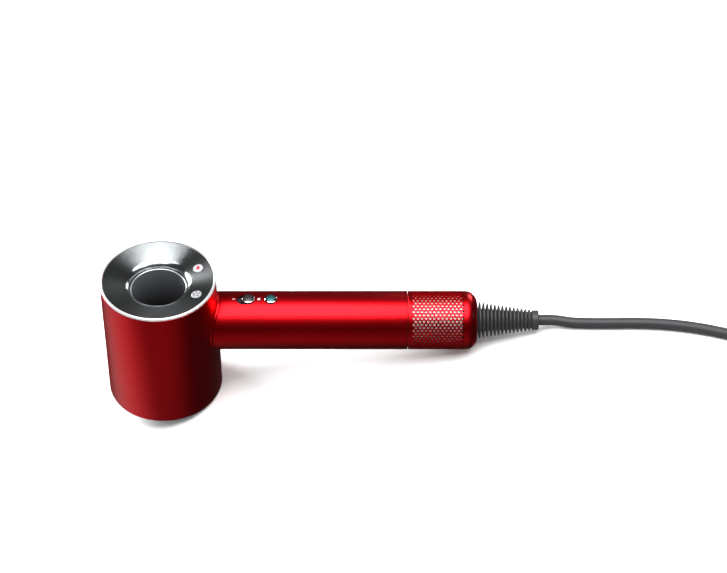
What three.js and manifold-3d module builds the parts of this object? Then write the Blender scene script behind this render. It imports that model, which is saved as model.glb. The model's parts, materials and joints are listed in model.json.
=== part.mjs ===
// A hand-held hair dryer with a ring-shaped head and a motor in the grip, lying on a table the way it
// comes to rest: on the front rim of its head and the end of its grip, with the control face up.
// Millimetres, +Z up. The dryer's own frame has its origin where the head's axis (Z) crosses the
// grip's axis (X). The grip points along +X, and the control face of the head looks along +Z.
import * as THREE from "three";
import { mergeVertices } from "three/addons/utils/BufferGeometryUtils.js";
import Module from "manifold-3d";

const wasm = await Module();
wasm.setup();
const { PI, sin, cos, tan, atan2 } = Math;
const degrees = THREE.MathUtils.degToRad;

// ---- Driving dimensions ----
const HEAD_RADIUS = 38.5;
const HEAD_LENGTH = 97;
const HEAD_REAR = 38.2; // the control face's rim above the grip's axis
const HEAD_FRONT = HEAD_REAR - HEAD_LENGTH;
const SHELL_WALL = 1.6;
const THROAT_RADIUS = 18.4; // the open hole through the head
const GRIP_RADIUS = 19.6;
const GRIP_END = 165.4; // where the filter cage starts
const CAGE_END = 211.6;
const RELIEF_END = 252.9;
const CORD_RADIUS = 3.6;
const FIT = 0.3; // the gap between pieces that touch
const SEAM = 0.35; // the visible gap between casings

const HEAD_INNER = HEAD_RADIUS - SHELL_WALL;
const GRIP_INNER = GRIP_RADIUS - 1.4;
const RING_SIDES = 36;

// ---- Finishes ----
const finish = (color, roughness, metalness) =>
  new THREE.MeshStandardMaterial({ color, roughness, metalness });
const redMetal = finish(0xc8101c, 0.32, 0.6);
const brushedNickel = finish(0xb9bcbf, 0.3, 1);
const polishedRim = finish(0xeef0f2, 0.12, 1);
const darkPlastic = finish(0x1b1c1f, 0.4, 0);
const greyPlastic = finish(0x4a4c50, 0.5, 0);
const ironGrey = finish(0x3c3e43, 0.35, 0.8);
const greyRubber = finish(0x2e2f32, 0.7, 0);
const circuitGreen = finish(0x1f4a34, 0.6, 0);
const mica = finish(0xc9b48a, 0.6, 0);
const nichrome = finish(0x8d8a86, 0.4, 1);
const steel = finish(0xa9abad, 0.35, 1);
const magnetBlack = finish(0x2b2b2e, 0.5, 0.4);
const copper = finish(0xb8683a, 0.35, 1);
const brass = finish(0xc9a44c, 0.3, 1);

// ---- Solids ----
const solidOf = (geometry) => {
  const bare = geometry.clone();
  for (const name of Object.keys(bare.attributes)) {
    if (name !== "position") bare.deleteAttribute(name);
  }
  const merged = mergeVertices(bare, 1e-4);
  const corners = merged.index.array;
  const kept = [];
  for (let i = 0; i < corners.length; i += 3) {
    const [a, b, c] = corners.slice(i, i + 3);
    if (a !== b && b !== c && c !== a) kept.push(a, b, c);
  }
  return new wasm.Manifold(
    new wasm.Mesh({
      numProp: 3,
      vertProperties: merged.attributes.position.array,
      triVerts: new Uint32Array(kept),
    }),
  );
};

const geometryOf = (solid) => {
  const mesh = solid.getMesh();
  const geometry = new THREE.BufferGeometry();
  geometry.setAttribute("position", new THREE.BufferAttribute(mesh.vertProperties, 3));
  geometry.setIndex(new THREE.BufferAttribute(mesh.triVerts, 1));
  geometry.computeVertexNormals();
  return geometry;
};

const join = (...parts) => geometryOf(wasm.Manifold.union(parts.map(solidOf)));
const cut = (base, ...tools) =>
  geometryOf(solidOf(base).subtract(wasm.Manifold.union(tools.map(solidOf))));
const shared = (a, b) => geometryOf(solidOf(a).intersect(solidOf(b)));

// A closed profile of [radius, height] points turned about the Y axis. A solid one touches the axis.
const turned = (profile, sides, closed) => {
  const points = profile.map(([r, y]) => new THREE.Vector2(r, y));
  if (THREE.ShapeUtils.area(points) < 0) points.reverse();
  if (closed) points.push(points[0].clone());
  return geometryOf(solidOf(new THREE.LatheGeometry(points, sides)));
};
const ring = (profile, sides = RING_SIDES) => turned(profile, sides, true);
const tube = (inner, outer, y0, y1, sides = RING_SIDES) =>
  ring([[inner, y0], [outer, y0], [outer, y1], [inner, y1]], sides);
const rod = (radius, y0, y1, sides = 16) =>
  new THREE.CylinderGeometry(radius, radius, y1 - y0, sides).translate(0, (y0 + y1) / 2, 0);
const block = (x0, x1, y0, y1, z0, z1) =>
  new THREE.BoxGeometry(x1 - x0, y1 - y0, z1 - z0).translate(
    (x0 + x1) / 2,
    (y0 + y1) / 2,
    (z0 + z1) / 2,
  );
const alongX = (geometry) => geometry.rotateZ(-PI / 2);
const alongZ = (geometry) => geometry.rotateX(PI / 2);

// Points of an arc about [r, y], from one angle to another, in degrees.
const arc = (r, y, radius, from, to, steps) =>
  Array.from({ length: steps + 1 }, (_, i) => {
    const angle = degrees(from + ((to - from) * i) / steps);
    return [r + radius * cos(angle), y + radius * sin(angle)];
  });

// A round section swept along a smooth curve through the points.
const sweep = (radius, points, steps, curveSegments) => {
  const section = new THREE.Shape();
  section.absarc(0, 0, radius, 0, 2 * PI, false);
  const extrudePath = new THREE.CatmullRomCurve3(points);
  return geometryOf(
    solidOf(
      new THREE.ExtrudeGeometry(section, { steps, curveSegments, bevelEnabled: false, extrudePath }),
    ),
  );
};

const part = (name, geometry, material) => {
  const mesh = new THREE.Mesh(geometry, material);
  mesh.name = name;
  return mesh;
};

// ---- The head: every piece turns about Y here, with the control face at +Y and the grip at +X ----
const head = new THREE.Group();
head.rotation.x = PI / 2;

const RIM_HEIGHT = 1.5;
const RIM_CHAMFER = 1.3;
const PASSAGE_RADIUS = 17; // where the air comes in from the grip
const NECK_RADIUS = 40.1; // the neck's end and the grip's start follow the head's own curve

const headShell = () => {
  const top = HEAD_REAR - RIM_HEIGHT - FIT;
  const wall = ring([
    [HEAD_INNER, top],
    [HEAD_RADIUS, top],
    [HEAD_RADIUS, HEAD_FRONT + 1.4],
    [HEAD_RADIUS - 0.45, HEAD_FRONT + 0.4],
    [HEAD_RADIUS - RIM_CHAMFER, HEAD_FRONT],
    [HEAD_INNER, HEAD_FRONT],
  ], 48);
  const neck = cut(
    shared(alongX(rod(GRIP_RADIUS, 0, 60, 40)), rod(NECK_RADIUS, -30, 30, 64)),
    rod(HEAD_RADIUS - 1, -31, 31, 48),
  );
  return cut(join(wall, neck), alongX(rod(PASSAGE_RADIUS, 20, 60, 32)));
};

const rearBezel = () => {
  const top = HEAD_REAR;
  const bottom = HEAD_REAR - RIM_HEIGHT;
  return ring([
    [HEAD_INNER, bottom],
    [HEAD_RADIUS, bottom],
    [HEAD_RADIUS, top - 0.6],
    [HEAD_RADIUS - 0.6, top],
    [HEAD_INNER, top],
  ], 48);
};

// The dish falls gently towards the middle and rolls over into the throat.
const DISH_EDGE = HEAD_INNER - FIT;
const DISH_TOP = HEAD_REAR - 0.7;
const DISH_SLOPE = degrees(12);
const DISH_WALL = 1.2;
const ROLL_RADIUS = 5.6;
const ROLL_START = THROAT_RADIUS + ROLL_RADIUS * (1 - sin(DISH_SLOPE));
const ROLL_CENTRE = DISH_TOP - (DISH_EDGE - ROLL_START) * tan(DISH_SLOPE) - ROLL_RADIUS * cos(DISH_SLOPE);
const dishHeight = (r) => DISH_TOP - (DISH_EDGE - r) * tan(DISH_SLOPE);

const CONTROL_REACH = 28.7; // from the head's axis to each control button
const CONTROL_ANGLE = degrees(25.5);
const CONTROL_RADIUS = 3.4;
const BOSS_REACH = 28.7;
const BOSS_ANGLES = [105, 180, 255].map(degrees);

// Moves a shape made about Y to a place on the dish, with its axis square to the dish.
const ontoDish = (geometry, angle) =>
  geometry
    .rotateZ(DISH_SLOPE)
    .translate(CONTROL_REACH, dishHeight(CONTROL_REACH), 0)
    .rotateY(angle);
const ontoRing = (geometry, reach, angle) => geometry.translate(reach, 0, 0).rotateY(angle);

const rearDish = () => {
  const centre = THROAT_RADIUS + ROLL_RADIUS;
  const above = arc(centre, ROLL_CENTRE, ROLL_RADIUS, 102, 180, 4);
  const below = arc(centre, ROLL_CENTRE, ROLL_RADIUS - DISH_WALL, 180, 102, 3);
  const shell = ring([
    [DISH_EDGE, DISH_TOP],
    ...above,
    ...below,
    [DISH_EDGE, DISH_TOP - DISH_WALL],
  ]);
  const bosses = BOSS_ANGLES.map((angle) =>
    ontoRing(rod(2.6, HEAD_REAR - 11.2, dishHeight(BOSS_REACH) - 0.8, 12), BOSS_REACH, angle),
  );
  const pilots = BOSS_ANGLES.map((angle) =>
    ontoRing(rod(1.45, HEAD_REAR - 12, HEAD_REAR - 4.6, 10), BOSS_REACH, angle),
  );
  const holes = [-1, 1].map((side) =>
    ontoDish(rod(CONTROL_RADIUS + FIT, -4, 4, 20), side * CONTROL_ANGLE),
  );
  return cut(join(shell, ...bosses), ...pilots, ...holes);
};

// The dark liner is the wall of the open hole and the inner wall of the air's way to the front slot.
const FLANGE_TOP = HEAD_REAR - 11.6;
const boreLiner = () => {
  const front = HEAD_FRONT + 0.6;
  const body = ring([
    [THROAT_RADIUS, ROLL_CENTRE - FIT],
    [THROAT_RADIUS - 0.3, -20],
    [THROAT_RADIUS + 0.5, -44],
    [20.4, front],
    [22.4, front],
    [22.6, front + 7],
    [20.6, -38],
    [19.6, -22],
    [19.6, FLANGE_TOP - 1.4],
    [34.5, FLANGE_TOP - 1.4],
    [34.5, FLANGE_TOP],
    [19.6, FLANGE_TOP],
    [19.6, ROLL_CENTRE - FIT],
  ]);
  const holes = BOSS_ANGLES.map((angle) =>
    ontoRing(rod(1.6, FLANGE_TOP - 3, FLANGE_TOP + 2, 10), BOSS_REACH, angle),
  );
  return cut(body, ...holes);
};

const headScrew = (number) => {
  const screw = join(rod(2.4, -1.7, 0, 12), rod(1.2, -0.2, 6.2, 10));
  screw.translate(0, FLANGE_TOP - 1.4 - FIT, 0);
  return part(
    `head_screw_${number}`,
    ontoRing(screw, BOSS_REACH, BOSS_ANGLES[number - 1]),
    steel,
  );
};

const SLOT_OUTER = 25.2;
const frontRing = () => {
  const face = HEAD_FRONT + 0.4;
  return ring([
    [SLOT_OUTER, face + 0.5],
    [SLOT_OUTER + 0.5, face],
    [HEAD_INNER - FIT, face],
    [HEAD_INNER - FIT, face + 6],
    [HEAD_INNER - 1.7, face + 6],
    [HEAD_INNER - 1.7, face + 1.6],
    [SLOT_OUTER, face + 1.6],
  ]);
};
const magnetRing = () => tube(27.4, 34.6, HEAD_FRONT + 2.3, HEAD_FRONT + 5.3, 32);
const outletNozzle = () => {
  const low = HEAD_FRONT + 2.3;
  return ring([
    [SLOT_OUTER, low],
    [SLOT_OUTER + 1.2, low],
    [SLOT_OUTER + 1.4, low + 4],
    [HEAD_INNER - 0.4, low + 17],
    [HEAD_INNER - 0.4, low + 18.5],
    [HEAD_INNER - 1.6, low + 18.5],
    [SLOT_OUTER, low + 5],
  ], 32);
};

// A flat resistance strip folded to and fro round the air's ring-shaped way.
const heaterCoil = (y, turn) => {
  const folds = 26;
  const thick = 0.4;
  const edge = (grow) =>
    Array.from({ length: folds * 2 }, (_, i) => {
      const reach = (i % 2 ? 32.6 : 24.6) + grow;
      const angle = (PI * i) / folds + turn;
      return new THREE.Vector2(reach * cos(angle), reach * sin(angle));
    });
  const shape = new THREE.Shape(edge(thick));
  shape.holes.push(new THREE.Path(edge(-thick).reverse()));
  const strip = new THREE.ExtrudeGeometry(shape, { depth: 5, bevelEnabled: false });
  return alongZ(strip).translate(0, y + 5, 0);
};
const HEATER_LOW = -34.5;
const heaterFrame = () => {
  const fins = [];
  for (let i = 0; i < 6; i++) {
    fins.push(block(21.6, 35.4, HEATER_LOW - 2.2, HEATER_LOW - 1.2, -1.4, 1.4).rotateY((i * PI) / 3));
  }
  return join(
    tube(20.9, 22.6, HEATER_LOW - 2.2, HEATER_LOW + 15, 32),
    tube(34.4, 35.9, HEATER_LOW - 2.2, HEATER_LOW + 15, 32),
    ...fins,
  );
};
const thermalCutout = () => block(-3, 3, HEATER_LOW + 15.6, HEATER_LOW + 19.2, 23, 33);
const ionModule = () =>
  join(
    block(-6, 6, -6, 4, -34.6, -24),
    rod(0.7, -10, -5, 8).translate(0, 0, -29),
  );

const controlBoard = () => {
  const shape = new THREE.Shape();
  const half = degrees(42);
  shape.absarc(0, 0, 33.6, -half, half, false);
  shape.absarc(0, 0, 21.4, half, -half, true);
  const board = new THREE.ExtrudeGeometry(shape, { depth: 1.2, bevelEnabled: false, curveSegments: 8 });
  return alongZ(board).translate(0, FLANGE_TOP + FIT + 1.2, 0);
};
const BOARD_TOP = FLANGE_TOP + FIT + 1.2;
const tactSwitch = (side) =>
  ontoRing(
    join(
      block(-3, 3, BOARD_TOP + FIT, BOARD_TOP + 2.6, -3, 3),
      rod(1.5, BOARD_TOP + 2.5, BOARD_TOP + 3.1, 10),
    ),
    CONTROL_REACH - 0.8,
    side * CONTROL_ANGLE,
  );
// Button cap and stem, made about Y with the dish's surface at 0.
const controlButton = (side) => {
  const edge = CONTROL_RADIUS;
  const cap = turned([[0, -2], [edge, -2], [edge, 0.2], [edge - 0.4, 0.6], [0, 0.6]], 20);
  return ontoDish(join(cap, rod(1.2, -3.4, -1.9, 10)), side * CONTROL_ANGLE);
};

head.add(
  part("head_shell", headShell(), redMetal),
  part("rear_bezel", rearBezel(), polishedRim),
  part("rear_dish", rearDish(), brushedNickel),
  part("bore_liner", boreLiner(), darkPlastic),
  part("front_ring", frontRing(), ironGrey),
  part("magnet_ring", magnetRing(), magnetBlack),
  part("outlet_nozzle", outletNozzle(), darkPlastic),
  part("heater_coil_front", heaterCoil(HEATER_LOW + 0.6, 0), nichrome),
  part("heater_coil_rear", heaterCoil(HEATER_LOW + 8.4, PI / 52), nichrome),
  part("heater_frame", heaterFrame(), mica),
  part("thermal_cutout", thermalCutout(), steel),
  part("ion_module", ionModule(), greyPlastic),
  part("control_board", controlBoard(), circuitGreen),
  part("heat_switch", tactSwitch(1), darkPlastic),
  part("speed_switch", tactSwitch(-1), darkPlastic),
  part("heat_button", controlButton(1), brushedNickel),
  part("speed_button", controlButton(-1), brushedNickel),
  ...[1, 2, 3].map(headScrew),
);

// ---- The grip: every piece turns about Y here, away from the head, with the buttons on the +Z side ----
const grip = new THREE.Group();
grip.rotation.z = -PI / 2;

const POWER_STATION = 59.1;
const COOL_STATION = 74;
const KNOB_RADIUS = 4.2;
const POWER_TRAVEL = 3.4;
const WELL_RADIUS = KNOB_RADIUS + 0.35;

const gripShell = () => {
  const sleeve = tube(GRIP_INNER, GRIP_RADIUS, 20, GRIP_END - SEAM, 40);
  const saddle = alongZ(rod(NECK_RADIUS + SEAM, -40, 40, 64));
  const wells = [
    alongZ(rod(WELL_RADIUS, 10, 30, 20)).translate(0, POWER_STATION, 0),
    alongZ(rod(WELL_RADIUS, 10, 30, 20)).translate(0, POWER_STATION - POWER_TRAVEL, 0),
    block(-WELL_RADIUS, WELL_RADIUS, POWER_STATION - POWER_TRAVEL, POWER_STATION, 10, 30),
    alongZ(rod(WELL_RADIUS, 10, 30, 20)).translate(0, COOL_STATION, 0),
  ];
  return cut(sleeve, saddle, ...wells);
};

const DUCT_OUTER = 17.6;
const DUCT_INNER = 16.4;
const DUCT_START = 44;
const DUCT_END = 157;
const airDuct = () => {
  const pocket = block(-8, 8, 48, 84, 6, 20);
  return cut(tube(DUCT_INNER, DUCT_OUTER, DUCT_START, DUCT_END, 32), pocket);
};

const SWITCH_BED = 15.2; // underside of the plate that the two buttons stand over
const switchBezel = () =>
  cut(
    block(-7, 7, 49, 83, SWITCH_BED, SWITCH_BED + 1.2),
    block(-1.6, 1.6, POWER_STATION - POWER_TRAVEL - 1.6, POWER_STATION + 1.6, 10, 20),
    alongZ(rod(1.7, 10, 20, 12)).translate(0, COOL_STATION, 0),
  );
const domedCap = (low, high) => {
  const edge = KNOB_RADIUS;
  const profile = [[0, low], [edge, low], [edge, high - 1], [edge - 0.8, high - 0.3], [2, high], [0, high]];
  return alongZ(turned(profile, 24));
};
const powerSlider = () => {
  const stem = block(-1.1, 1.1, -1.2, 1.2, 13.2, SWITCH_BED + 2);
  return join(domedCap(SWITCH_BED + 1.6, 20.9), stem).translate(0, POWER_STATION, 0);
};
const coolShotButton = () => {
  const stem = alongZ(rod(1.3, 13.1, SWITCH_BED + 3, 12));
  return join(domedCap(SWITCH_BED + 2.5, 20.8), stem).translate(0, COOL_STATION, 0);
};
const SWITCH_BOARD_TOP = 8.8;
const switchBoard = () => block(-7, 7, 50, 82, SWITCH_BOARD_TOP - 1.2, SWITCH_BOARD_TOP);
const slideSwitch = () =>
  block(-3, 3, POWER_STATION - 6, POWER_STATION + 4, SWITCH_BOARD_TOP + FIT, 12.8);
const coolSwitch = () =>
  block(-3, 3, COOL_STATION - 3, COOL_STATION + 3, SWITCH_BOARD_TOP + FIT, 11.8);

const motorBoard = () => block(-12, 12, 46, 92, -9.6, -8.2);
const capacitor = () => rod(4.2, 52, 70, 16).translate(-4, 0, -3.6);

// The motor: air comes in at the far end, through the impeller and the vanes, towards the head.
const MOTOR_START = 98;
const MOTOR_END = 147;
const HOUSING_INNER = 13.4;
const motorHousing = () =>
  ring([
    [HOUSING_INNER, MOTOR_START],
    [14.5, MOTOR_START],
    [14.5, MOTOR_END - 3],
    [14.9, MOTOR_END],
    [14.2, MOTOR_END],
    [HOUSING_INNER, MOTOR_END - 3],
  ], 28);
const WIRE_SIDE = 5;
const WIRE_DEPTH = -14.55;
// A ring of rubber, open on one side to let the supply wires by.
const motorMount = (y) =>
  cut(tube(14.8, 16, y, y + 5, 28), block(-WIRE_SIDE - 1, WIRE_SIDE + 1, y - 1, y + 6, -18, -10));

const SHAFT_RADIUS = 1.5;
const CORE_START = 106;
const CORE_END = 117;
const statorCore = () => {
  const teeth = [];
  for (let i = 0; i < 4; i++) {
    const tooth = join(
      block(5.6, 11.4, CORE_START, CORE_END, -2, 2),
      block(5.6, 6.9, CORE_START, CORE_END, -3.2, 3.2),
    );
    teeth.push(tooth.rotateY((i * PI) / 2));
  }
  const yoke = tube(10.8, 13.1, CORE_START, CORE_END, 32);
  return cut(join(yoke, ...teeth), rod(5.6, CORE_START - 1, CORE_END + 1, 24));
};
const statorCoil = (number) => {
  const winding = cut(
    block(7.2, 9.7, CORE_START - 2.2, CORE_END + 2.2, -4.1, 4.1),
    block(6, 12, CORE_START - 0.3, CORE_END + 0.3, -2.3, 2.3),
  );
  return part(`stator_coil_${number}`, winding.rotateY(((number - 1) * PI) / 2), copper);
};
const bearing = (y) => tube(SHAFT_RADIUS + FIT, 3.6, y, y + 3, 16);
const bearingBridge = () => {
  const arms = [0, 1, 2].map((i) => block(4.4, 12.9, 99, 102, -1, 1).rotateY((i * 2 * PI) / 3));
  return join(tube(3.9, 5.4, 99, 102, 16), ...arms);
};
const VANES = 11;
const vane = (y0, y1, inner, outer, lean) => {
  const blade = block(inner, outer, y0, y1, -0.4, 0.4);
  const positions = blade.attributes.position;
  for (let i = 0; i < positions.count; i++) {
    if (positions.getY(i) > (y0 + y1) / 2) positions.setZ(i, positions.getZ(i) + lean);
  }
  return blade;
};
const diffuser = () => {
  const vanes = Array.from({ length: VANES }, (_, i) =>
    vane(121, 128, 8.2, 12.6, 2.4).rotateY((i * 2 * PI) / VANES),
  );
  return join(tube(3.9, 8.6, 120, 128.4, 16), ...vanes);
};
const BLADES = 13;
const BORE = SHAFT_RADIUS + FIT / 2;
const impeller = () => {
  const hub = ring([[BORE, 129.4], [8.6, 129.4], [7.6, 134], [4.6, 141], [BORE, 143]], 16);
  const blades = Array.from({ length: BLADES }, (_, i) =>
    vane(130.2, 138.6, 5.2, 12.2, -3.2).rotateY((i * 2 * PI) / BLADES),
  );
  return join(hub, ...blades);
};

// The filter: a fixed core with windows and a fine screen, under a cage that pulls off along the cord.
const CORE_OUTER = 17.3;
const CORE_WALL = 1.4;
const SCREEN_INNER = CORE_OUTER + FIT;
const SCREEN_OUTER = SCREEN_INNER + 0.6;
const CORE_LENGTH_END = 203.4;
const filterCore = () => {
  const start = DUCT_END + 1;
  const body = ring([
    [CORE_OUTER - CORE_WALL, start],
    [GRIP_INNER - FIT, start],
    [GRIP_INNER - FIT, start + 6],
    [CORE_OUTER, start + 7],
    [CORE_OUTER, CORE_LENGTH_END - 1.6],
    [SCREEN_OUTER, CORE_LENGTH_END - 1.6],
    [SCREEN_OUTER, CORE_LENGTH_END],
    [4.3, CORE_LENGTH_END],
    [4.3, CORE_LENGTH_END - 2],
    [CORE_OUTER - CORE_WALL, CORE_LENGTH_END - 2],
  ], 24);
  const windows = [];
  for (let i = 0; i < 6; i++) {
    for (const y of [168, 184.5]) {
      windows.push(block(10, 20, y, y + 14, -5.6, 5.6).rotateY((i * PI) / 3));
    }
  }
  return cut(body, ...windows);
};
const filterScreen = () => tube(SCREEN_INNER, SCREEN_OUTER, DUCT_END + 8.6, CORE_LENGTH_END - 2, 24);

const CAGE_WALL = 1;
const CAGE_ROWS = 12;
const SHOULDER = 8; // radius of the cage's round end
const SHOULDER_STEP = degrees(16);
const RELIEF_RADIUS = 12.2;
const filterCage = () => {
  const start = GRIP_END;
  const centre = CAGE_END - SHOULDER;
  const inside = GRIP_RADIUS - CAGE_WALL;
  const outer = arc(GRIP_RADIUS - SHOULDER, centre, SHOULDER, 0, 80, 5);
  const inner = arc(GRIP_RADIUS - SHOULDER, centre, SHOULDER - CAGE_WALL, 80, 0, 3);
  const shell = ring([[inside, start], [GRIP_RADIUS, start], ...outer, ...inner], 2 * CAGE_ROWS);
  const holes = [];
  for (let column = 0; column < 5; column++) {
    for (let row = 0; row < CAGE_ROWS; row++) {
      const turn = ((row + 0.25 + (column % 2) / 2) * 2 * PI) / CAGE_ROWS;
      const hole = alongX(rod(2.2, 15, 25, 6)).rotateX(PI / 2);
      holes.push(hole.translate(0, start + 5.6 + column * 6.9, 0).rotateY(turn));
    }
  }
  return cut(shell, ...holes);
};

const RIBS = 14;
const RELIEF_START = CAGE_END - 6.4;
const strainRelief = () => {
  const first = CAGE_END + 0.9;
  const pitch = 2.55;
  const coreRadius = (y) => 7.6 - ((y - first) / (RELIEF_END - first)) * 2.6;
  const ribRadius = (i) => RELIEF_RADIUS - 0.2 - i * 0.38;
  const profile = [
    [0, RELIEF_START],
    [RELIEF_RADIUS - 0.6, RELIEF_START],
    [RELIEF_RADIUS, first - 0.6],
  ];
  for (let i = 0; i < RIBS; i++) {
    const y = first + i * pitch;
    profile.push([coreRadius(y), y], [ribRadius(i), y + pitch * 0.3], [ribRadius(i), y + pitch * 0.6]);
  }
  const collar = first + RIBS * pitch;
  profile.push(
    [coreRadius(collar), collar],
    [6.6, collar + 0.5],
    [6.6, RELIEF_END - 0.4],
    [6.2, RELIEF_END],
    [0, RELIEF_END],
  );
  return turned(profile, 12);
};
const cordClamp = () => block(-6, 6, 194, 201, -5, 5);
const clampScrew = (number) => {
  const screw = join(alongZ(rod(1.8, 5.3, 6.8, 10)), alongZ(rod(0.9, 6.7, 8, 8)));
  return part(`clamp_screw_${number}`, screw.translate(number === 1 ? -4 : 4, 197.5, 0), steel);
};

// The two supply wires run up one side of the motor from the clamp to the motor's board.
const supplyWire = (side) => {
  const route = [
    [side * 2, 193.6, -2],
    [side * 3, 178, -4],
    [side * WIRE_SIDE, 160, -12],
    [side * WIRE_SIDE, 150, WIRE_DEPTH],
    [side * WIRE_SIDE, 120, WIRE_DEPTH],
    [side * WIRE_SIDE, 98, WIRE_DEPTH],
    [side * 4, 84, -11],
  ].map((point) => new THREE.Vector3(...point));
  return sweep(0.4, route, 14, 3);
};

grip.add(
  part("grip_shell", gripShell(), redMetal),
  part("air_duct", airDuct(), darkPlastic),
  part("switch_bezel", switchBezel(), darkPlastic),
  part("power_slider", powerSlider(), polishedRim),
  part("cool_shot_button", coolShotButton(), polishedRim),
  part("switch_board", switchBoard(), circuitGreen),
  part("slide_switch", slideSwitch(), steel),
  part("cool_shot_switch", coolSwitch(), darkPlastic),
  part("motor_board", motorBoard(), circuitGreen),
  part("capacitor", capacitor(), darkPlastic),
  part("motor_housing", motorHousing(), greyPlastic),
  part("motor_mount_head_end", motorMount(99), greyRubber),
  part("motor_mount_filter_end", motorMount(137), greyRubber),
  part("stator_core", statorCore(), steel),
  ...[1, 2, 3, 4].map(statorCoil),
  part("bearing_head_end", bearing(99), steel),
  part("bearing_filter_end", bearing(122), steel),
  part("bearing_bridge", bearingBridge(), ironGrey),
  part("diffuser", diffuser(), ironGrey),
  part("rotor_shaft", rod(SHAFT_RADIUS, 98.4, 144.4, 16), steel),
  part("rotor_magnet", tube(BORE, 5, CORE_START, CORE_END, 16), magnetBlack),
  part("impeller", impeller(), darkPlastic),
  part("filter_core", filterCore(), darkPlastic),
  part("filter_screen", filterScreen(), steel),
  part("filter_cage", filterCage(), redMetal),
  part("strain_relief", strainRelief(), greyRubber),
  part("cord_clamp", cordClamp(), darkPlastic),
  clampScrew(1),
  clampScrew(2),
  part("live_wire", supplyWire(1), copper),
  part("neutral_wire", supplyWire(-1), copper),
);

// ---- The whole dryer, leaning on the front rim of its head and the round end of its cage ----
const dryer = new THREE.Group();
dryer.add(head, grip);
const lowOnHead = [HEAD_RADIUS - RIM_CHAMFER, HEAD_FRONT];
const lowOnCage = [
  CAGE_END - SHOULDER + SHOULDER * sin(SHOULDER_STEP),
  SHOULDER - GRIP_RADIUS - SHOULDER * cos(SHOULDER_STEP),
];
dryer.rotation.y = atan2(lowOnCage[1] - lowOnHead[1], lowOnCage[0] - lowOnHead[0]);
const extent = new THREE.Box3().setFromObject(dryer, true);
dryer.position.set(-(extent.min.x + extent.max.x) / 2, 0, -extent.min.z);
dryer.updateMatrixWorld(true);

// ---- The cord, on the table: a free run, then the rest wound in a coil, and the plug beside it ----
const COIL_RADIUS = 12 * CORD_RADIUS;
const COIL_HALF = 3 * CORD_RADIUS; // three turns side by side and three deep
const COIL_CORNER = 3;
const TIE_WALL = 0.9;
const TIE_HALF = COIL_HALF + FIT + TIE_WALL;
const COIL_CENTRE = new THREE.Vector3(346, -22, TIE_HALF + 0.1);

const powerCord = () => {
  const onAxis = (x) => dryer.localToWorld(new THREE.Vector3(x, 0, 0)).toArray();
  const low = CORD_RADIUS + 0.1;
  const route = [
    onAxis(RELIEF_END + FIT),
    onAxis(RELIEF_END + 5),
    onAxis(RELIEF_END + 10),
    [170, -3.4, low + 0.1],
    [182, -6.6, low],
    [196, -9.8, low],
    [213, -13.6, low],
    [234, -19.8, low],
    [255, -28.6, low],
    [273, -38.2, low],
    [290, -47.8, low],
    [297.5, -52.05, low],
  ].map((point) => new THREE.Vector3(...point));
  return sweep(CORD_RADIUS, route, 22, 5);
};
const cordCoil = () => {
  const edge = COIL_HALF - COIL_CORNER;
  const section = [
    [-COIL_HALF, -edge],
    [-edge, -COIL_HALF],
    [edge, -COIL_HALF],
    [COIL_HALF, -edge],
    [COIL_HALF, edge],
    [edge, COIL_HALF],
    [-edge, COIL_HALF],
    [-COIL_HALF, edge],
  ];
  return alongZ(ring(section.map(([r, y]) => [COIL_RADIUS + r, y]))).translate(...COIL_CENTRE);
};
// A strap right round the turns, with a little more room across them, because they curve under it.
const cordTie = () => {
  const sleeve = (half, reach) => block(-reach, reach, -half - 0.6, half + 0.6, -half, half);
  return cut(sleeve(TIE_HALF, 6), sleeve(TIE_HALF - TIE_WALL, 7))
    .translate(0, COIL_RADIUS, 0)
    .rotateZ(degrees(-40))
    .translate(...COIL_CENTRE);
};

// The plug lies flat beside the coil. Its own pins point along +X, and its origin is the middle of its
// neck's end, on the table.
const PLUG_BEVEL = 2;
const PLUG_HEIGHT = 15;
const PLUG_LENGTH = 42;
const PIN_RADIUS = 2.4;
const PIN_SPACING = 19;
const PIN_LENGTH = 19;
const plug = new THREE.Group();
plug.position.set(405.9, -24.1, 0.1);
plug.rotation.z = degrees(60);

const plugBody = () => {
  const outline = new THREE.Shape();
  const side = (y) => [
    new THREE.Vector2(PLUG_BEVEL, 4.6 * y),
    new THREE.Vector2(14, 5.4 * y),
    new THREE.Vector2(20, 9 * y),
    new THREE.Vector2(25, 14 * y),
    new THREE.Vector2(31, 16.4 * y),
    new THREE.Vector2(PLUG_LENGTH - PLUG_BEVEL, 16.4 * y),
  ];
  outline.setFromPoints([...side(-1), ...side(1).reverse()]);
  const body = new THREE.ExtrudeGeometry(outline, {
    depth: PLUG_HEIGHT - 2 * PLUG_BEVEL,
    bevelThickness: PLUG_BEVEL,
    bevelSize: PLUG_BEVEL,
    bevelSegments: 2,
  }).translate(0, 0, PLUG_BEVEL);
  const sockets = [-1, 1].map((side) => pinRod(side, PIN_RADIUS + FIT, PLUG_LENGTH - 4));
  return cut(body, ...sockets);
};
const pinRod = (side, radius, start) =>
  alongX(rod(radius, start, PLUG_LENGTH + PIN_LENGTH, 12)).translate(
    0,
    (side * PIN_SPACING) / 2,
    PLUG_HEIGHT / 2,
  );
plug.add(
  part("plug_body", plugBody(), greyRubber),
  part("plug_pin_1", pinRod(-1, PIN_RADIUS, PLUG_LENGTH - 4 + FIT), brass),
  part("plug_pin_2", pinRod(1, PIN_RADIUS, PLUG_LENGTH - 4 + FIT), brass),
);

const onTable = new THREE.Group();
onTable.add(
  dryer,
  part("power_cord", powerCord(), greyRubber),
  part("cord_coil", cordCoil(), greyRubber),
  part("cord_tie", cordTie(), greyRubber),
  plug,
);

export default onTable;
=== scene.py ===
"""A studio picture of the hair dryer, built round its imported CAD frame. Metres, +Z up."""
import json
import math
from math import cos, pi, radians, sin, sqrt, tan

import bmesh
import bpy
from mathutils import Matrix, Vector


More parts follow.
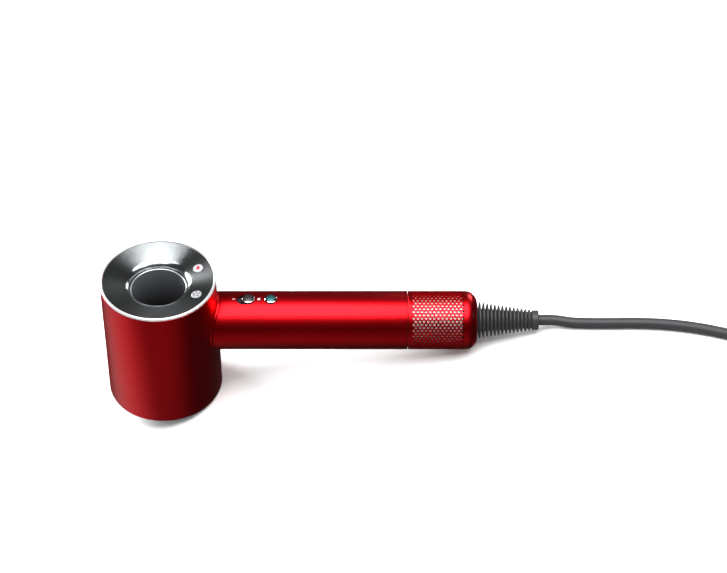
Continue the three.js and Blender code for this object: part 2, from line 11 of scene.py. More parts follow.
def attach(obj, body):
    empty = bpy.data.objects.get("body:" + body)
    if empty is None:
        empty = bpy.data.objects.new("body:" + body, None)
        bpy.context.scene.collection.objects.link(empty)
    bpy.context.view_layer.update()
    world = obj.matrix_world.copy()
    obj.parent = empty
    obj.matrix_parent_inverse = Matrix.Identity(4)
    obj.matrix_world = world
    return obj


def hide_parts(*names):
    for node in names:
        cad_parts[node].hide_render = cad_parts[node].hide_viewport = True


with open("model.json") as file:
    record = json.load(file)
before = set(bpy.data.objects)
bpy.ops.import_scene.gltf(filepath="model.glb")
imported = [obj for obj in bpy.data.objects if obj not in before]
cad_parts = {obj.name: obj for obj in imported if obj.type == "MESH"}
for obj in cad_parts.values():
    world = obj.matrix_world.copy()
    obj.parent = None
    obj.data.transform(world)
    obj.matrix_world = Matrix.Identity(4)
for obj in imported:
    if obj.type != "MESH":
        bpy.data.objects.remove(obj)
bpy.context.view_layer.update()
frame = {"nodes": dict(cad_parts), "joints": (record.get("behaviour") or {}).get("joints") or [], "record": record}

# The dryer leans, so its shapes are drawn upright in its own frame, in millimetres, and this matrix
# places them. Its origin is where the head's axis (Z) crosses the grip's axis (X).
MM = 0.001
MICRON = 0.001 * MM
ROTOR_STATION = 121  # from the head's axis to the point that the rotor's joint gives
spin = next(joint for joint in frame["joints"] if joint["name"] == "rotor_spin")
grip_axis = Vector(spin["axis"])
LEAN = math.atan2(-grip_axis.z, grip_axis.x)
DRYER = (
    Matrix.Translation(Vector(spin["pos_m"]) - ROTOR_STATION * MM * grip_axis)
    @ Matrix.Rotation(LEAN, 4, "Y")
)
TABLE = Matrix.Identity(4)
ALONG_GRIP = Matrix.Rotation(pi / 2, 4, "Y")  # turns a shape's Z axis to the grip's axis


def shift(x, y, z):
    """A move by a vector in millimetres."""
    return Matrix.Translation(Vector((x, y, z)) * MM)


def extent(node):
    """A CAD node's lowest and highest corners in the dryer's own frame, in millimetres."""
    points = [DRYER.inverted() @ v.co / MM for v in frame["nodes"][node].data.vertices]
    return [Vector([pick(p[i] for p in points) for i in range(3)]) for pick in (min, max)]


# ---- Sizes that the frame gives ----
shell_low, shell_high = extent("head_shell")
HEAD_RADIUS, HEAD_FRONT, SHELL_TOP = shell_high.y, shell_low.z, shell_high.z
rim_low, rim_high = extent("rear_bezel")
HEAD_REAR = rim_high.z
tube_high = extent("grip_shell")[1]
GRIP_RADIUS, GRIP_END = tube_high.y, tube_high.x
cage_low, cage_high = extent("filter_cage")
CAGE_START, CAGE_END = cage_low.x, cage_high.x
screen_low, screen_high = extent("filter_screen")
relief_low, relief_high = extent("strain_relief")
RELIEF_END = relief_high.x
knob_low, knob_high = extent("power_slider")
POWER_STATION, KNOB_TOP = (knob_low.x + knob_high.x) / 2, knob_high.z
cool_low, cool_high = extent("cool_shot_button")
COOL_STATION = (cool_low.x + cool_high.x) / 2
plug_face = next(mount for mount in frame["record"]["mounts"] if mount["name"] == "plug_face")
PLUG_LENGTH = 42  # from the end of its neck to the face that the pins stand on
PLUG_WAY = Vector(plug_face["axis"])
PLUG = (
    Matrix.Translation(Vector(plug_face["pos_m"]) - PLUG_LENGTH * MM * PLUG_WAY)
    @ Matrix.Rotation(math.atan2(PLUG_WAY.y, PLUG_WAY.x), 4, "Z")
)  # its origin is the middle of the neck's end, and its X axis runs along the plug

# ---- Sizes of the visible surfaces ----
SHELL_WALL = 1.6
HEAD_INNER = HEAD_RADIUS - SHELL_WALL
GRIP_INNER = GRIP_RADIUS - 1.4
NECK_RADIUS = 40.1
SEAM = 0.35
THROAT_RADIUS = 18.4
DISH_SLOPE = radians(12)
DISH_WALL = 1.2
DISH_EDGE = HEAD_INNER - 0.3
DISH_TOP = HEAD_REAR - 0.7
ROLL_RADIUS = 5.6
ROLL_START = THROAT_RADIUS + ROLL_RADIUS * (1 - sin(DISH_SLOPE))
ROLL_CENTRE = DISH_TOP - (DISH_EDGE - ROLL_START) * tan(DISH_SLOPE) - ROLL_RADIUS * cos(DISH_SLOPE)
CONTROL_REACH = 28.7
CONTROL_ANGLE = radians(25.5)
CONTROL_RADIUS = 3.4
KNOB_RADIUS = 4.2
POWER_TRAVEL = 3.4
WELL_RADIUS = KNOB_RADIUS + 0.35
RELIEF_RADIUS = 12.2
CORD_RADIUS = 3.6
SIDES = 256  # round a large turned piece
GRIP_SIDES = 192  # round the grip and the collar that meets it
EDGE_ANGLE = 35  # in degrees: a sharper fold is shaded as an edge
WELD = 0.001  # points nearer than this are one point


def dish_height(reach):
    """The height of the dish's upper face, this far from the head's axis."""
    return DISH_TOP - (DISH_EDGE - reach) * tan(DISH_SLOPE)


# ---- The camera ----
def camera():
    """A long lens that looks down on the control face, square to the grip."""
    down = radians(43.913)
    data = bpy.data.cameras.new("camera")
    data.sensor_width, data.lens = 36, 118.845
    seen_from = bpy.data.objects.new("camera", data)
    place = shift(135.68, -1143.77, 1132.4)
    seen_from.matrix_world = DRYER @ place @ Matrix.Rotation(pi / 2 - down, 4, "X")
    bpy.context.scene.collection.objects.link(seen_from)
    bpy.context.scene.camera = seen_from


# ---- Materials ----
class Finish:
    """A principled material, with short calls for the nodes that give it detail."""

    def __init__(self, name, color, roughness, metallic=0.0, **sockets):
        self.material = bpy.data.materials.new(name)
        self.material.use_nodes = True
        self.tree = self.material.node_tree
        self.shader = self.tree.nodes["Principled BSDF"]
        self.color, self.roughness = color, roughness
        self.shader.inputs["Base Color"].default_value = (*color, 1)
        self.shader.inputs["Roughness"].default_value = roughness
        self.shader.inputs["Metallic"].default_value = metallic
        for socket, value in sockets.items():
            self.shader.inputs[socket.replace("_", " ").title()].default_value = value

    def node(self, kind, inputs=None, **settings):
        """A new node, whose inputs are plain values or outputs of other nodes."""
        made = self.tree.nodes.new("ShaderNode" + kind)
        for key, value in settings.items():
            setattr(made, key, value)
        for socket, value in (inputs or {}).items():
            if isinstance(value, bpy.types.NodeSocket):
                self.tree.links.new(value, made.inputs[socket])
            else:
                made.inputs[socket].default_value = value
        return made

    def place(self, stretch=(1, 1, 1)):
        """Object coordinates, stretched."""
        where = self.node("TexCoord").outputs["Object"]
        return self.node("Mapping", {"Vector": where, "Scale": stretch}).outputs["Vector"]

    def noise(self, scale, detail=3.0, stretch=(1, 1, 1), vector=None):
        """Noise from 0 to 1, over the shape or over a vector that is given."""
        inputs = {"Vector": vector or self.place(stretch), "Scale": scale, "Detail": detail}
        return self.node("TexNoise", inputs).outputs["Fac"]

    def math(self, operation, *values):
        return self.node("Math", dict(enumerate(values)), operation=operation).outputs[0]

    def reach(self):
        """How far a point is from the shape's Z axis, and its angle about it."""
        parts = self.node("SeparateXYZ", {"Vector": self.place()}).outputs
        squares = [self.math("MULTIPLY", parts[i], parts[i]) for i in (0, 1)]
        return self.math("SQRT", self.math("ADD", *squares)), self.math("ARCTAN2", parts[1], parts[0])

    def vary_roughness(self, value, spread):
        """Moves the roughness by up to a spread either way, as a value goes from 0 to 1."""
        level = self.ramp(value, 0.0, 1.0, self.roughness - spread, self.roughness + spread)
        self.tree.links.new(level, self.shader.inputs["Roughness"])

    def blend(self, value, first):
        """Goes from a first colour, at 0, to the finish's own, at 1."""
        mix = self.node("Mix", {"Factor": value}, data_type="RGBA")
        mix.inputs["A"].default_value = (*first, 1)
        mix.inputs["B"].default_value = (*self.color, 1)
        self.tree.links.new(mix.outputs["Result"], self.shader.inputs["Base Color"])

    def vary_color(self, value, share):
        """Goes from a share of the finish's colour, at 0, to all of it, at 1."""
        self.blend(value, [c * share for c in self.color])

    def ramp(self, value, low, high, to_low=0.0, to_high=1.0):
        """Maps a range of a value to another, and holds it at the ends."""
        inputs = {"Value": value, "From Min": low, "From Max": high, "To Min": to_low, "To Max": to_high}
        return self.node("MapRange", inputs).outputs["Result"]

    def along(self, axis):
        """The place along one of the shape's axes."""
        return self.node("SeparateXYZ", {"Vector": self.place()}).outputs[axis]

    def bump(self, height, depth):
        """Raises the surface by up to depth, in metres."""
        made = self.node("Bump", {"Height": height, "Distance": depth})
        self.tree.links.new(made.outputs["Normal"], self.shader.inputs["Normal"])


def red_metal():
    """Satin red metallic paint with a fine flake."""
    finish = Finish("red_metal", (0.76, 0.002, 0.008), 0.34, 1.0, coat_weight=0.16, coat_roughness=0.28)
    flake = finish.noise(5200.0, 2.0)
    finish.vary_color(flake, 0.86)
    finish.vary_roughness(finish.noise(900.0), 0.04)
    finish.bump(flake, 4 * MICRON)
    return finish.material


def polished_rim():
    """Bright silver with a soft polish."""
    finish = Finish("polished_rim", (0.93, 0.94, 0.95), 0.24, 0.7)
    finish.vary_roughness(finish.noise(700.0), 0.04)
    finish.bump(finish.noise(1500.0), 2 * MICRON)
    return finish.material


def turned_nickel():
    """Nickel brushed in circles about the shape's Z axis, and smoother where it rolls into the throat."""
    finish = Finish("turned_nickel", (0.59, 0.62, 0.635), 0.2, 1.0,
                    anisotropic=0.85, anisotropic_rotation=0.25)
    circles = finish.node("Tangent", direction_type="RADIAL", axis="Z")
    finish.tree.links.new(circles.outputs["Tangent"], finish.shader.inputs["Tangent"])
    reach, angle = finish.reach()
    drift = finish.math("MULTIPLY", angle, 1 * MM)  # a groove changes slowly on its way round
    line = finish.node("CombineXYZ", {"X": reach, "Y": drift}).outputs[0]
    grooves = finish.noise(7000.0, 4.0, vector=line)
    brushing = finish.ramp(reach, (ROLL_START - 2) * MM, ROLL_START * MM, 0.5)
    finish.vary_roughness(finish.math("MULTIPLY", grooves, brushing), 0.06)
    finish.vary_color(grooves, 0.88)
    finish.bump(grooves, 3 * MICRON)
    return finish.material


def jewelled(name, middle, softness):
    """A chrome edge round a tinted, softer middle."""
    finish = Finish(name, (0.86, 0.87, 0.88), 0.1, 1.0)
    edge = finish.ramp(finish.reach()[0], 2.4 * MM, 2.9 * MM)
    finish.blend(edge, middle)
    level = finish.ramp(edge, 0.0, 1.0, softness, finish.roughness)
    finish.tree.links.new(level, finish.shader.inputs["Roughness"])
    finish.bump(finish.noise(900.0), 2 * MICRON)
    return finish.material


def bore_with_painted_shade():
    """Charcoal at the mouth of the hole, with painted shade that fades it to black deeper inside it."""
    finish = Finish("bore_with_painted_shade", (0.11, 0.115, 0.125), 0.5)
    # painted shade: the colour falls to 3 % of the charcoal towards the front, deep inside the bore
    finish.vary_color(finish.ramp(finish.along("Z"), -4 * MM, 28 * MM), 0.03)
    grit = finish.noise(2600.0, 4.0)
    finish.vary_roughness(grit, 0.06)
    finish.bump(grit, 4 * MICRON)
    return finish.material


def plastic(name, color, roughness, grain=10 * MICRON):
    """Moulded plastic with a fine spark-eroded grain."""
    finish = Finish(name, color, roughness)
    grit = finish.noise(2600.0, 4.0)
    finish.vary_color(grit, 0.85)
    finish.vary_roughness(grit, 0.06)
    finish.bump(grit, grain)
    return finish.material


def rubber():
    """Matt charcoal rubber with faint dust."""
    finish = Finish("rubber", (0.024, 0.024, 0.027), 0.5, sheen_weight=0.05)
    finish.vary_color(finish.noise(260.0, 5.0), 0.82)
    finish.vary_roughness(finish.noise(1200.0), 0.08)
    finish.bump(finish.noise(3800.0), 12 * MICRON)
    return finish.material


def metal(name, color, roughness, stretch=(1, 1, 8)):
    """Plain machined or drawn metal with a grain along one way."""
    finish = Finish(name, color, roughness, 1.0)
    grain = finish.noise(1800.0, 4.0, stretch)
    finish.vary_color(grain, 0.8)
    finish.vary_roughness(grain, 0.08)
    finish.bump(grain, 4 * MICRON)
    return finish.material


def woven_wire():
    """Fine silver gauze: wires along the tube and round it."""
    finish = Finish("woven_wire", (0.8, 0.77, 0.76), 0.36, 0.6)
    wire_pitch, wires_round = 0.7 * MM, 164
    rings = finish.math("SINE", finish.math("MULTIPLY", finish.along("Z"), 2 * pi / wire_pitch))
    lengths = finish.math("SINE", finish.math("MULTIPLY", finish.reach()[1], wires_round))
    weave = finish.math("MAXIMUM", rings, lengths)
    finish.vary_color(weave, 0.3)
    finish.bump(weave, 50 * MICRON)
    return finish.material


def winding():
    """Enamelled copper wire, laid side by side."""
    finish = Finish("copper_winding", (0.72, 0.3, 0.14), 0.3, 0.9)
    strands = finish.node("TexWave", {"Vector": finish.place(), "Scale": 300.0}).outputs["Fac"]
    finish.vary_color(strands, 0.55)
    finish.bump(strands, 100 * MICRON)
    return finish.material


def circuit_board():
    """Green lacquered board with faint tracks."""
    finish = Finish("circuit_board", (0.03, 0.16, 0.07), 0.35, coat_weight=0.4)
    tracks = finish.node("TexVoronoi", {"Vector": finish.place(), "Scale": 420.0}, distance="MANHATTAN")
    finish.vary_color(tracks.outputs["Distance"], 0.5)
    finish.bump(tracks.outputs["Distance"], 40 * MICRON)
    return finish.material


def mica():
    """Flaky heat-proof sheet."""
    finish = Finish("mica", (0.52, 0.42, 0.26), 0.55)
    flakes = finish.noise(420.0, 6.0)
    finish.vary_color(flakes, 0.6)
    finish.bump(flakes, 40 * MICRON)
    return finish.material


def strap():
    """Black hook-and-loop tape."""
    finish = Finish("strap", (0.03, 0.03, 0.033), 0.85, sheen_weight=0.12)
    loops = finish.node("TexVoronoi", {"Vector": finish.place(), "Scale": 1500.0}).outputs["Distance"]
    finish.vary_color(loops, 0.5)
    finish.bump(loops, 250 * MICRON)
    return finish.material


def ink(name, color):
    """A thin printed layer, a little uneven."""
    finish = Finish(name, color, 0.4)
    finish.vary_color(finish.noise(4000.0), 0.92)
    return finish.material


RED = red_metal()
RIM = polished_rim()
NICKEL = turned_nickel()
GREY = plastic("grey_plastic", (0.07, 0.072, 0.08), 0.5)
RUBBER = rubber()
GAUZE = woven_wire()
SATIN = plastic("satin_white", (0.36, 0.36, 0.37), 0.3, grain=3 * MICRON)
WHITE_INK = ink("white_ink", (0.85, 0.84, 0.84))
RED_INK = ink("red_ink", (0.6, 0.01, 0.03))
DARK_INK = ink("dark_ink", (0.05, 0.055, 0.06))


# ---- Shapes ----
def arc(x, y, radius, start, end, steps):
    """Points of an arc about (x, y), between two angles in degrees."""
    angles = [radians(start + (end - start) * i / steps) for i in range(steps + 1)]
    return [(x + radius * cos(a), y + radius * sin(a)) for a in angles]


def rounded(corners, steps=5):
    """The closed outline through corners (x, y, radius), each turned on an arc of its radius."""
    outline = []
    for i, (x, y, radius) in enumerate(corners):
        if not radius:
            outline.append((x, y))
            continue
        here = Vector((x, y))
        before = (Vector(corners[i - 1][:2]) - here).normalized()
        after = (Vector(corners[(i + 1) % len(corners)][:2]) - here).normalized()
        half = before.angle(after) / 2
        centre = here + (before + after).normalized() * radius / sin(half)
        first = here + before * radius / tan(half) - centre
        last = here + after * radius / tan(half) - centre
        start = math.degrees(math.atan2(first.y, first.x))
        turn = (math.degrees(math.atan2(last.y, last.x)) - start + 180) % 360 - 180
        outline += arc(centre.x, centre.y, radius, start, start + turn, steps)
    return outline


def made_from(shape, mesh):
    """An object whose mesh takes a shape's faces, turned outwards and shaded smooth."""
    bmesh.ops.recalc_face_normals(shape, faces=shape.faces)
    shape.to_mesh(mesh)
    shape.free()
    mesh.polygons.foreach_set("use_smooth", [True] * len(mesh.polygons))
    piece = bpy.data.objects.new(mesh.name, mesh)
    bpy.context.scene.collection.objects.link(piece)
    return piece


def solid(name, points, faces, smooth=EDGE_ANGLE):
    """An object from points in millimetres, smooth across folds of up to an angle in degrees."""
    mesh = bpy.data.meshes.new(name)
    mesh.from_pydata([Vector(p) * MM for p in points], [], faces)
    shape = bmesh.new()
    shape.from_mesh(mesh)
    piece = made_from(shape, mesh)
    mesh.set_sharp_from_angle(angle=radians(smooth))
    return piece


def loft(name, rings, closed=False, smooth=EDGE_ANGLE):
    """Skins over rings of points. A closed one joins its last ring to its first, others get flat ends."""
    count = len(rings[0])
    faces = []
    for i in range(len(rings) if closed else len(rings) - 1):
        a, b = i * count, (i + 1) % len(rings) * count
        faces += [(a + j, a + (j + 1) % count, b + (j + 1) % count, b + j) for j in range(count)]
    if not closed:
        last = (len(rings) - 1) * count
        faces += [tuple(range(count)), tuple(range(last, last + count))]
    return solid(name, [p for ring in rings for p in ring], faces, smooth)


def turned(name, outline, closed=True, sides=SIDES):
    """An outline of (radius, height) turned about Z. An open one has a flat face at each end."""
    angles = [2 * pi * j / sides for j in range(sides)]
    apart = [point for i, point in enumerate(outline) if math.dist(point, outline[i - 1]) > WELD]
    return loft(name, [[(r * cos(a), r * sin(a), z) for a in angles] for r, z in apart], closed)


def prism(name, outline, low, high):
    """A flat outline given a thickness along Z."""
    return loft(name, [[(x, y, z) for x, y in outline] for z in (low, high)])


def settle(piece):
    """Applies a piece's modifiers to its mesh."""
    bpy.context.view_layer.update()
    seen = piece.evaluated_get(bpy.context.evaluated_depsgraph_get())
    mesh = bpy.data.meshes.new_from_object(seen)
    piece.modifiers.clear()
    piece.data = mesh
    return piece


def combine(piece, operation, *tools):
    """Joins tools to a piece, or cuts them from it, removes them and welds the seam."""
    for tool in tools:
        step = piece.modifiers.new("combine", "BOOLEAN")
        step.operation, step.solver, step.object = operation, "EXACT", tool
    settle(piece)
    for tool in tools:
        bpy.data.objects.remove(tool)
    shape = bmesh.new()
    shape.from_mesh(piece.data)
    bmesh.ops.remove_doubles(shape, verts=shape.verts, dist=WELD * MM)
    shape.to_mesh(piece.data)
    shape.free()
    piece.data.set_sharp_from_angle(angle=radians(EDGE_ANGLE))
    return piece


def moved(piece, matrix):
    """A piece whose mesh is moved before it's combined with another."""
    piece.data.transform(matrix)
    return piece


def finished(piece, material, body, replaces=(), matrix=DRYER, own_axes=False):
    """Gives a piece its material and place, and ties it to its CAD body. Its mesh is moved, or the
    object, if the material follows the shape's own axes."""
    piece.data.materials.append(material)
    if own_axes:
        piece.matrix_world = matrix
    else:
        piece.data.transform(matrix)
    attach(piece, body)
    if replaces:
        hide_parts(*replaces)
    return piece


# ---- The cord, its coil and its plug, on the table ----
LOW = CORD_RADIUS + 0.1  # the height of the cord's middle where it lies on the table
PITCH = 2 * CORD_RADIUS
COIL_CENTRE = Vector((346, -22, LOW))
COIL_RADIUS = 12 * CORD_RADIUS - 0.05
COIL_START = -120
TURNS = 8.5
TURN_POINTS = 36
CHANGEOVER = 0.33  # the last part of each turn, where the cord moves over to the next turn's place
TIE_AT = 50
TIE_LIFT = 1.2  # how far the turns rise there, over the strap
TIE_SPREAD = 16  # degrees on each side for most of that rise


def on_coil(angle, reach, height=0):
    """A point of the coil, by its angle in degrees about the middle, reach and height in millimetres."""
    return COIL_CENTRE + Vector((reach * cos(radians(angle)), reach * sin(radians(angle)), height))


def free_run():
    """The cord's way from the strain relief to the coil."""
    leaving = [DRYER @ Vector(((RELIEF_END + x) * MM, 0, 0)) / MM for x in (-3, 0.3, 5, 10)]
    lying = [(196, -9.8), (213, -13.6), (234, -19.8), (255, -28.6), (273, -38.2),
             (290, -47.8), (303.4, -55.5)]
    landing = [Vector((170, -3.4, LOW + 0.2)), Vector((182, -6.6, LOW + 0.05))]
    return leaving + landing + [Vector((x, y, LOW)) for x, y in lying]


def coil_turns():
    """Three turns side by side and three deep, wound inwards, out again and inwards."""
    layers = [(1, 0), (0, 0), (-1, 0), (-1, 1), (0, 1), (1, 1), (1, 2), (0, 2), (-1, 2)]
    points = []
    for i in range(int(TURN_POINTS * TURNS) + 1):
        turn, part = divmod(i / TURN_POINTS, 1)
        (r0, z0), (r1, z1) = layers[int(turn)], layers[min(int(turn) + 1, len(layers) - 1)]
        step = max(0, (part - 1 + CHANGEOVER) / CHANGEOVER)
        # A turn that climbs at the coil's inner or outer side swings away from the others on its way up.
        swell = 0.25 * sin(pi * step) ** 2 * r0 if z1 != z0 else 0
        step = (1 - cos(pi * step)) / 2
        reach = COIL_RADIUS + PITCH * (r0 + (r1 - r0) * step + swell)
        angle = COIL_START + 360 / TURN_POINTS * i
        from_tie = (angle - TIE_AT + 180) % 360 - 180
        lift = TIE_LIFT * math.exp(-(from_tie / TIE_SPREAD) ** 2)
        points.append(on_coil(angle, reach, PITCH * (z0 + (z1 - z0) * step) + lift))
    return points


def coil_tail():
    """Up onto the top of the coil, along it, and down its outer side to the plug, by places on_coil."""
    over = [(75, 36, 15.2), (90, 36, 17.3), (105, 36.3, 19.7), (120, 37, 21.4), (136, 38.2, 21.8),
            (155, 40, 21.9), (175, 42, 21.9), (195, 43.8, 21.9), (215, 45.6, 21.9), (235, 47.2, 21.9),
            (255, 48.7, 21.9), (272, 50.1, 21.8), (287, 52.3, 21), (300, 56.2, 19.2), (313, 59.2, 15.3),
            (327, 59.8, 10.5)]
    into_plug = [PLUG @ (Vector(place) * MM) / MM for place in ((-14, -3, 2), (0, 0, 0), (6, 0, 0))]
    return [on_coil(*place) for place in over] + into_plug


def mains_cord():
    """One smooth curve from inside the strain relief to inside the plug's neck."""
    data = bpy.data.curves.new("mains_cord", "CURVE")
    data.dimensions, data.bevel_depth = "3D", CORD_RADIUS * MM
    data.bevel_resolution, data.resolution_u, data.use_fill_caps = 6, 5, True
    route = free_run() + coil_turns() + coil_tail()
    line = data.splines.new("BEZIER")
    line.bezier_points.add(len(route) - 1)
    for knot, point in zip(line.bezier_points, route):
        knot.co = point * MM
        knot.handle_left_type = knot.handle_right_type = "AUTO"
    piece = bpy.data.objects.new("mains_cord", data)
    bpy.context.scene.collection.objects.link(piece)
    return finished(piece, RUBBER, "dryer_body", ["power_cord", "cord_coil"], TABLE)


def coil_tie():
    """A strap round all the turns."""
    half, wall, edge = 1.5 * PITCH + 0.15, 0.85, 6
    corners = [(-1, -1), (1, -1), (1, 1), (-1, 1)]
    outer = rounded([(s * (half + wall + 0.5), t * (half + wall), 4.4) for s, t in corners], 8)
    inner = rounded([(s * (half + 0.5), t * half, 3.5) for s, t in corners], 8)
    loops = ((outer, -edge), (outer, edge), (inner, edge), (inner, -edge))
    band = loft("coil_tie", [[(x, y, z) for x, y in loop] for loop, z in loops], closed=True)
    middle = Matrix.Translation(on_coil(TIE_AT, COIL_RADIUS, PITCH + TIE_LIFT) * MM)
    matrix = middle @ Matrix.Rotation(radians(TIE_AT), 4, "Z") @ Matrix.Rotation(pi / 2, 4, "X")
    return finished(band, strap(), "dryer_body", ["cord_tie"], matrix)


# ---- The head ----
PASSAGE_RADIUS = 17  # of the hole from the grip into the head


def around_grip(radius, reach):
    """A ring about the grip's axis that lies on a cylinder about the head's."""
    angles = [2 * pi * j / GRIP_SIDES for j in range(GRIP_SIDES)]
    return [(sqrt(reach ** 2 - (radius * cos(a)) ** 2), radius * cos(a), radius * sin(a)) for a in angles]


def head_shell():
    """The red wall, with a collar that swells out of it to meet the grip and a lip inside the grip."""
    wall = turned("head_shell_fine", rounded([
        (HEAD_INNER, SHELL_TOP, 0), (HEAD_RADIUS, SHELL_TOP, 0.3), (HEAD_RADIUS, HEAD_FRONT, 1.6),
        (HEAD_INNER, HEAD_FRONT, 0),
    ]))
    flare = [(22.2, 38.3), (21.3, 38.42), (20.6, 38.56), (20.1, 38.76), (19.78, 39.0), (19.63, 39.2),
             (19.6, 39.35), (19.6, 39.8), (19.53, 39.98), (19.3, NECK_RADIUS)]
    lip_inner, lip_outer, lip_end = PASSAGE_RADIUS + 0.1, 17.9, 42.5
    lip = [(lip_outer, NECK_RADIUS), (lip_outer, lip_end), (lip_inner, lip_end), (lip_inner, 37.9)]
    outline = [*flare, *lip, (22, 37.8)]
    collar = loft("collar", [around_grip(r, reach) for r, reach in outline], closed=True)
    passage = moved(prism("passage", arc(0, 0, PASSAGE_RADIUS, 0, 357.5, 143), 20, 60), ALONG_GRIP)
    return combine(combine(wall, "UNION", collar), "DIFFERENCE", passage)


def rear_bezel():
    """The bright rim round the dish."""
    return turned("rear_bezel_fine", rounded([
        (HEAD_INNER, rim_low.z, 0.1), (HEAD_RADIUS, rim_low.z, 0.15), (HEAD_RADIUS, HEAD_REAR, 1.1),
        (HEAD_INNER, HEAD_REAR, 0.35),
    ], 8))


def on_dish(side):
    """The place of a control button, Z square to the dish. The heat button's side is 1."""
    return (
        Matrix.Rotation(side * CONTROL_ANGLE, 4, "Z")
        @ shift(CONTROL_REACH, 0, dish_height(CONTROL_REACH))
        @ Matrix.Rotation(-DISH_SLOPE, 4, "Y")
    )


def rear_dish():
    """The brushed dish, rolled over into the throat, with holes for its two buttons."""
    centre = THROAT_RADIUS + ROLL_RADIUS
    dish = turned("rear_dish_fine", [
        (DISH_EDGE, DISH_TOP),
        *arc(centre, ROLL_CENTRE, ROLL_RADIUS, 102, 180, 16),
        *arc(centre, ROLL_CENTRE, ROLL_RADIUS - DISH_WALL, 180, 102, 8),
        (DISH_EDGE, DISH_TOP - DISH_WALL),
    ])
    holes = [
        moved(prism("hole", arc(0, 0, CONTROL_RADIUS + 0.25, 0, 357, 119), -4, 4), on_dish(side))
        for side in (1, -1)
    ]
    return combine(dish, "DIFFERENCE", *holes)


def throat_lip():
    """A fine polished bead just inside the dish's roll."""
    at = radians(176)
    bead = arc(ROLL_RADIUS * cos(at), ROLL_RADIUS * sin(at), 0.33, 0, 330, 11)
    return turned("throat_lip", [(THROAT_RADIUS + ROLL_RADIUS + x, ROLL_CENTRE + z) for x, z in bead])


def bore_liner():
    """The tube through the head, a little wider at the front, with a flange under the dish."""
    outer, flange_edge = 19.6, 34.5
    flange, flange_wall = HEAD_REAR - 11.6, 1.4
    top, front = ROLL_CENTRE - 0.3, HEAD_FRONT + 0.6
    return turned("bore_liner_fine", [
        (THROAT_RADIUS, top), (THROAT_RADIUS - 0.3, -20), (THROAT_RADIUS + 0.5, -44),
        *arc(21.4, front + 1, 1, 180, 360, 12),
        (22.6, front + 7), (20.6, -38), (outer, -22), (outer, flange - flange_wall),
        (flange_edge, flange - flange_wall), (flange_edge, flange), (outer, flange), (outer, top),
    ])


def front_ring():
    """The flat ring round the outlet, with a skirt inside the shell."""
    face, edge, wall, skirt, skirt_wall = HEAD_FRONT + 0.4, 25.2, 1.6, 6, 1.4
    return turned("front_ring_fine", rounded([
        (edge, face, 0.5), (DISH_EDGE, face, 0.15), (DISH_EDGE, face + skirt, 0),
        (DISH_EDGE - skirt_wall, face + skirt, 0), (DISH_EDGE - skirt_wall, face + wall, 0),
        (edge, face + wall, 0.2),
    ]))


def control_button(name, side):
    """A satin cap on the dish, domed a little, with its stem."""
    cap = turned(name + "_fine", [
        (1.2, -3.4), (1.2, -2), (CONTROL_RADIUS, -2),
        *arc(CONTROL_RADIUS - 0.3, 0.2, 0.3, 0, 80, 5), (2.4, 0.56), (0.02, 0.6),
    ], closed=False, sides=96)
    return finished(cap, SATIN, name, [name], DRYER @ on_dish(side))


def on_button(name, outline, material, button, side):
    """A mark printed on the dome of a control button, just proud of it."""
    mark = prism(name, outline, 0.55, 0.64)
    return finished(mark, material, button, matrix=DRYER @ on_dish(side))


def fan_blade(turn):
    """One blade of a fan, from its hub outwards, at an angle in degrees."""
    return arc(0, 0, 2.7, turn + 24, turn + 62, 8) + arc(0, 0, 0.7, turn + 34, turn, 4)


def flame():
    """A drop with its point square to the grip."""
    outline = []
    for turn in range(0, 360, 10):
        reach = 1.25 + 0.95 * max(0, cos(radians(turn))) ** 7
        towards = radians(turn + 64.5)
        outline.append((reach * cos(towards), reach * sin(towards)))
    return outline


# ---- The grip ----
def grip_shell():
    """The red tube, cut to the head's curve, with a well for the slider and one for the button."""
    start = NECK_RADIUS + SEAM
    edge = [(0, 0.55), (0.04, 0.3), (0.16, 0.1), (0.4, 0), (GRIP_RADIUS - GRIP_INNER, 0)]
    rings = [around_grip(GRIP_RADIUS - inset, start + back) for inset, back in edge]
    end = [(GRIP_INNER, GRIP_END), (GRIP_RADIUS - 0.25, GRIP_END), (GRIP_RADIUS - 0.07, GRIP_END - 0.07),
           (GRIP_RADIUS, GRIP_END - 0.25)]
    rings += [[(x, y, z) for _, y, z in around_grip(r, start)] for r, x in end]
    tube = loft("grip_shell_fine", rings, closed=True)
    slide = arc(POWER_STATION - POWER_TRAVEL, 0, WELL_RADIUS, 270, 90, 48)
    slide += arc(POWER_STATION, 0, WELL_RADIUS, 90, -90, 48)
    press = arc(COOL_STATION, 0, WELL_RADIUS, 0, 357, 119)
    return combine(tube, "DIFFERENCE", *[prism("well", outline, 10, 30) for outline in (slide, press)])


def domed_cap(name, station, low, top, waist, material):
    """A polished round cap on the grip, from low to top, with a stem as thick as its waist."""
    cap = turned(name + "_fine", [
        (waist, 13.3), (waist, low), (KNOB_RADIUS, low),
        *arc(KNOB_RADIUS - 0.7, top - 1.1, 0.7, 0, 65, 6),
        *[(KNOB_RADIUS * f, top - 0.62 * f * f) for f in (0.78, 0.62, 0.46, 0.3, 0.15, 0.01)],
    ], closed=False, sides=96)
    return finished(cap, material, name, [name], DRYER @ shift(station, 0, 0), True)


def on_grip(name, outline, station):
    """A printed mark that follows the grip's curve. Its outline is (along, round), in millimetres."""
    rings = []
    for radius in (GRIP_RADIUS - 0.05, GRIP_RADIUS + 0.02):
        rings.append([(x, radius * sin(y / radius), radius * cos(y / radius)) for x, y in outline])
    mark = loft(name, rings)
    return finished(mark, WHITE_INK, "dryer_body", matrix=DRYER @ shift(station, 0, 0))


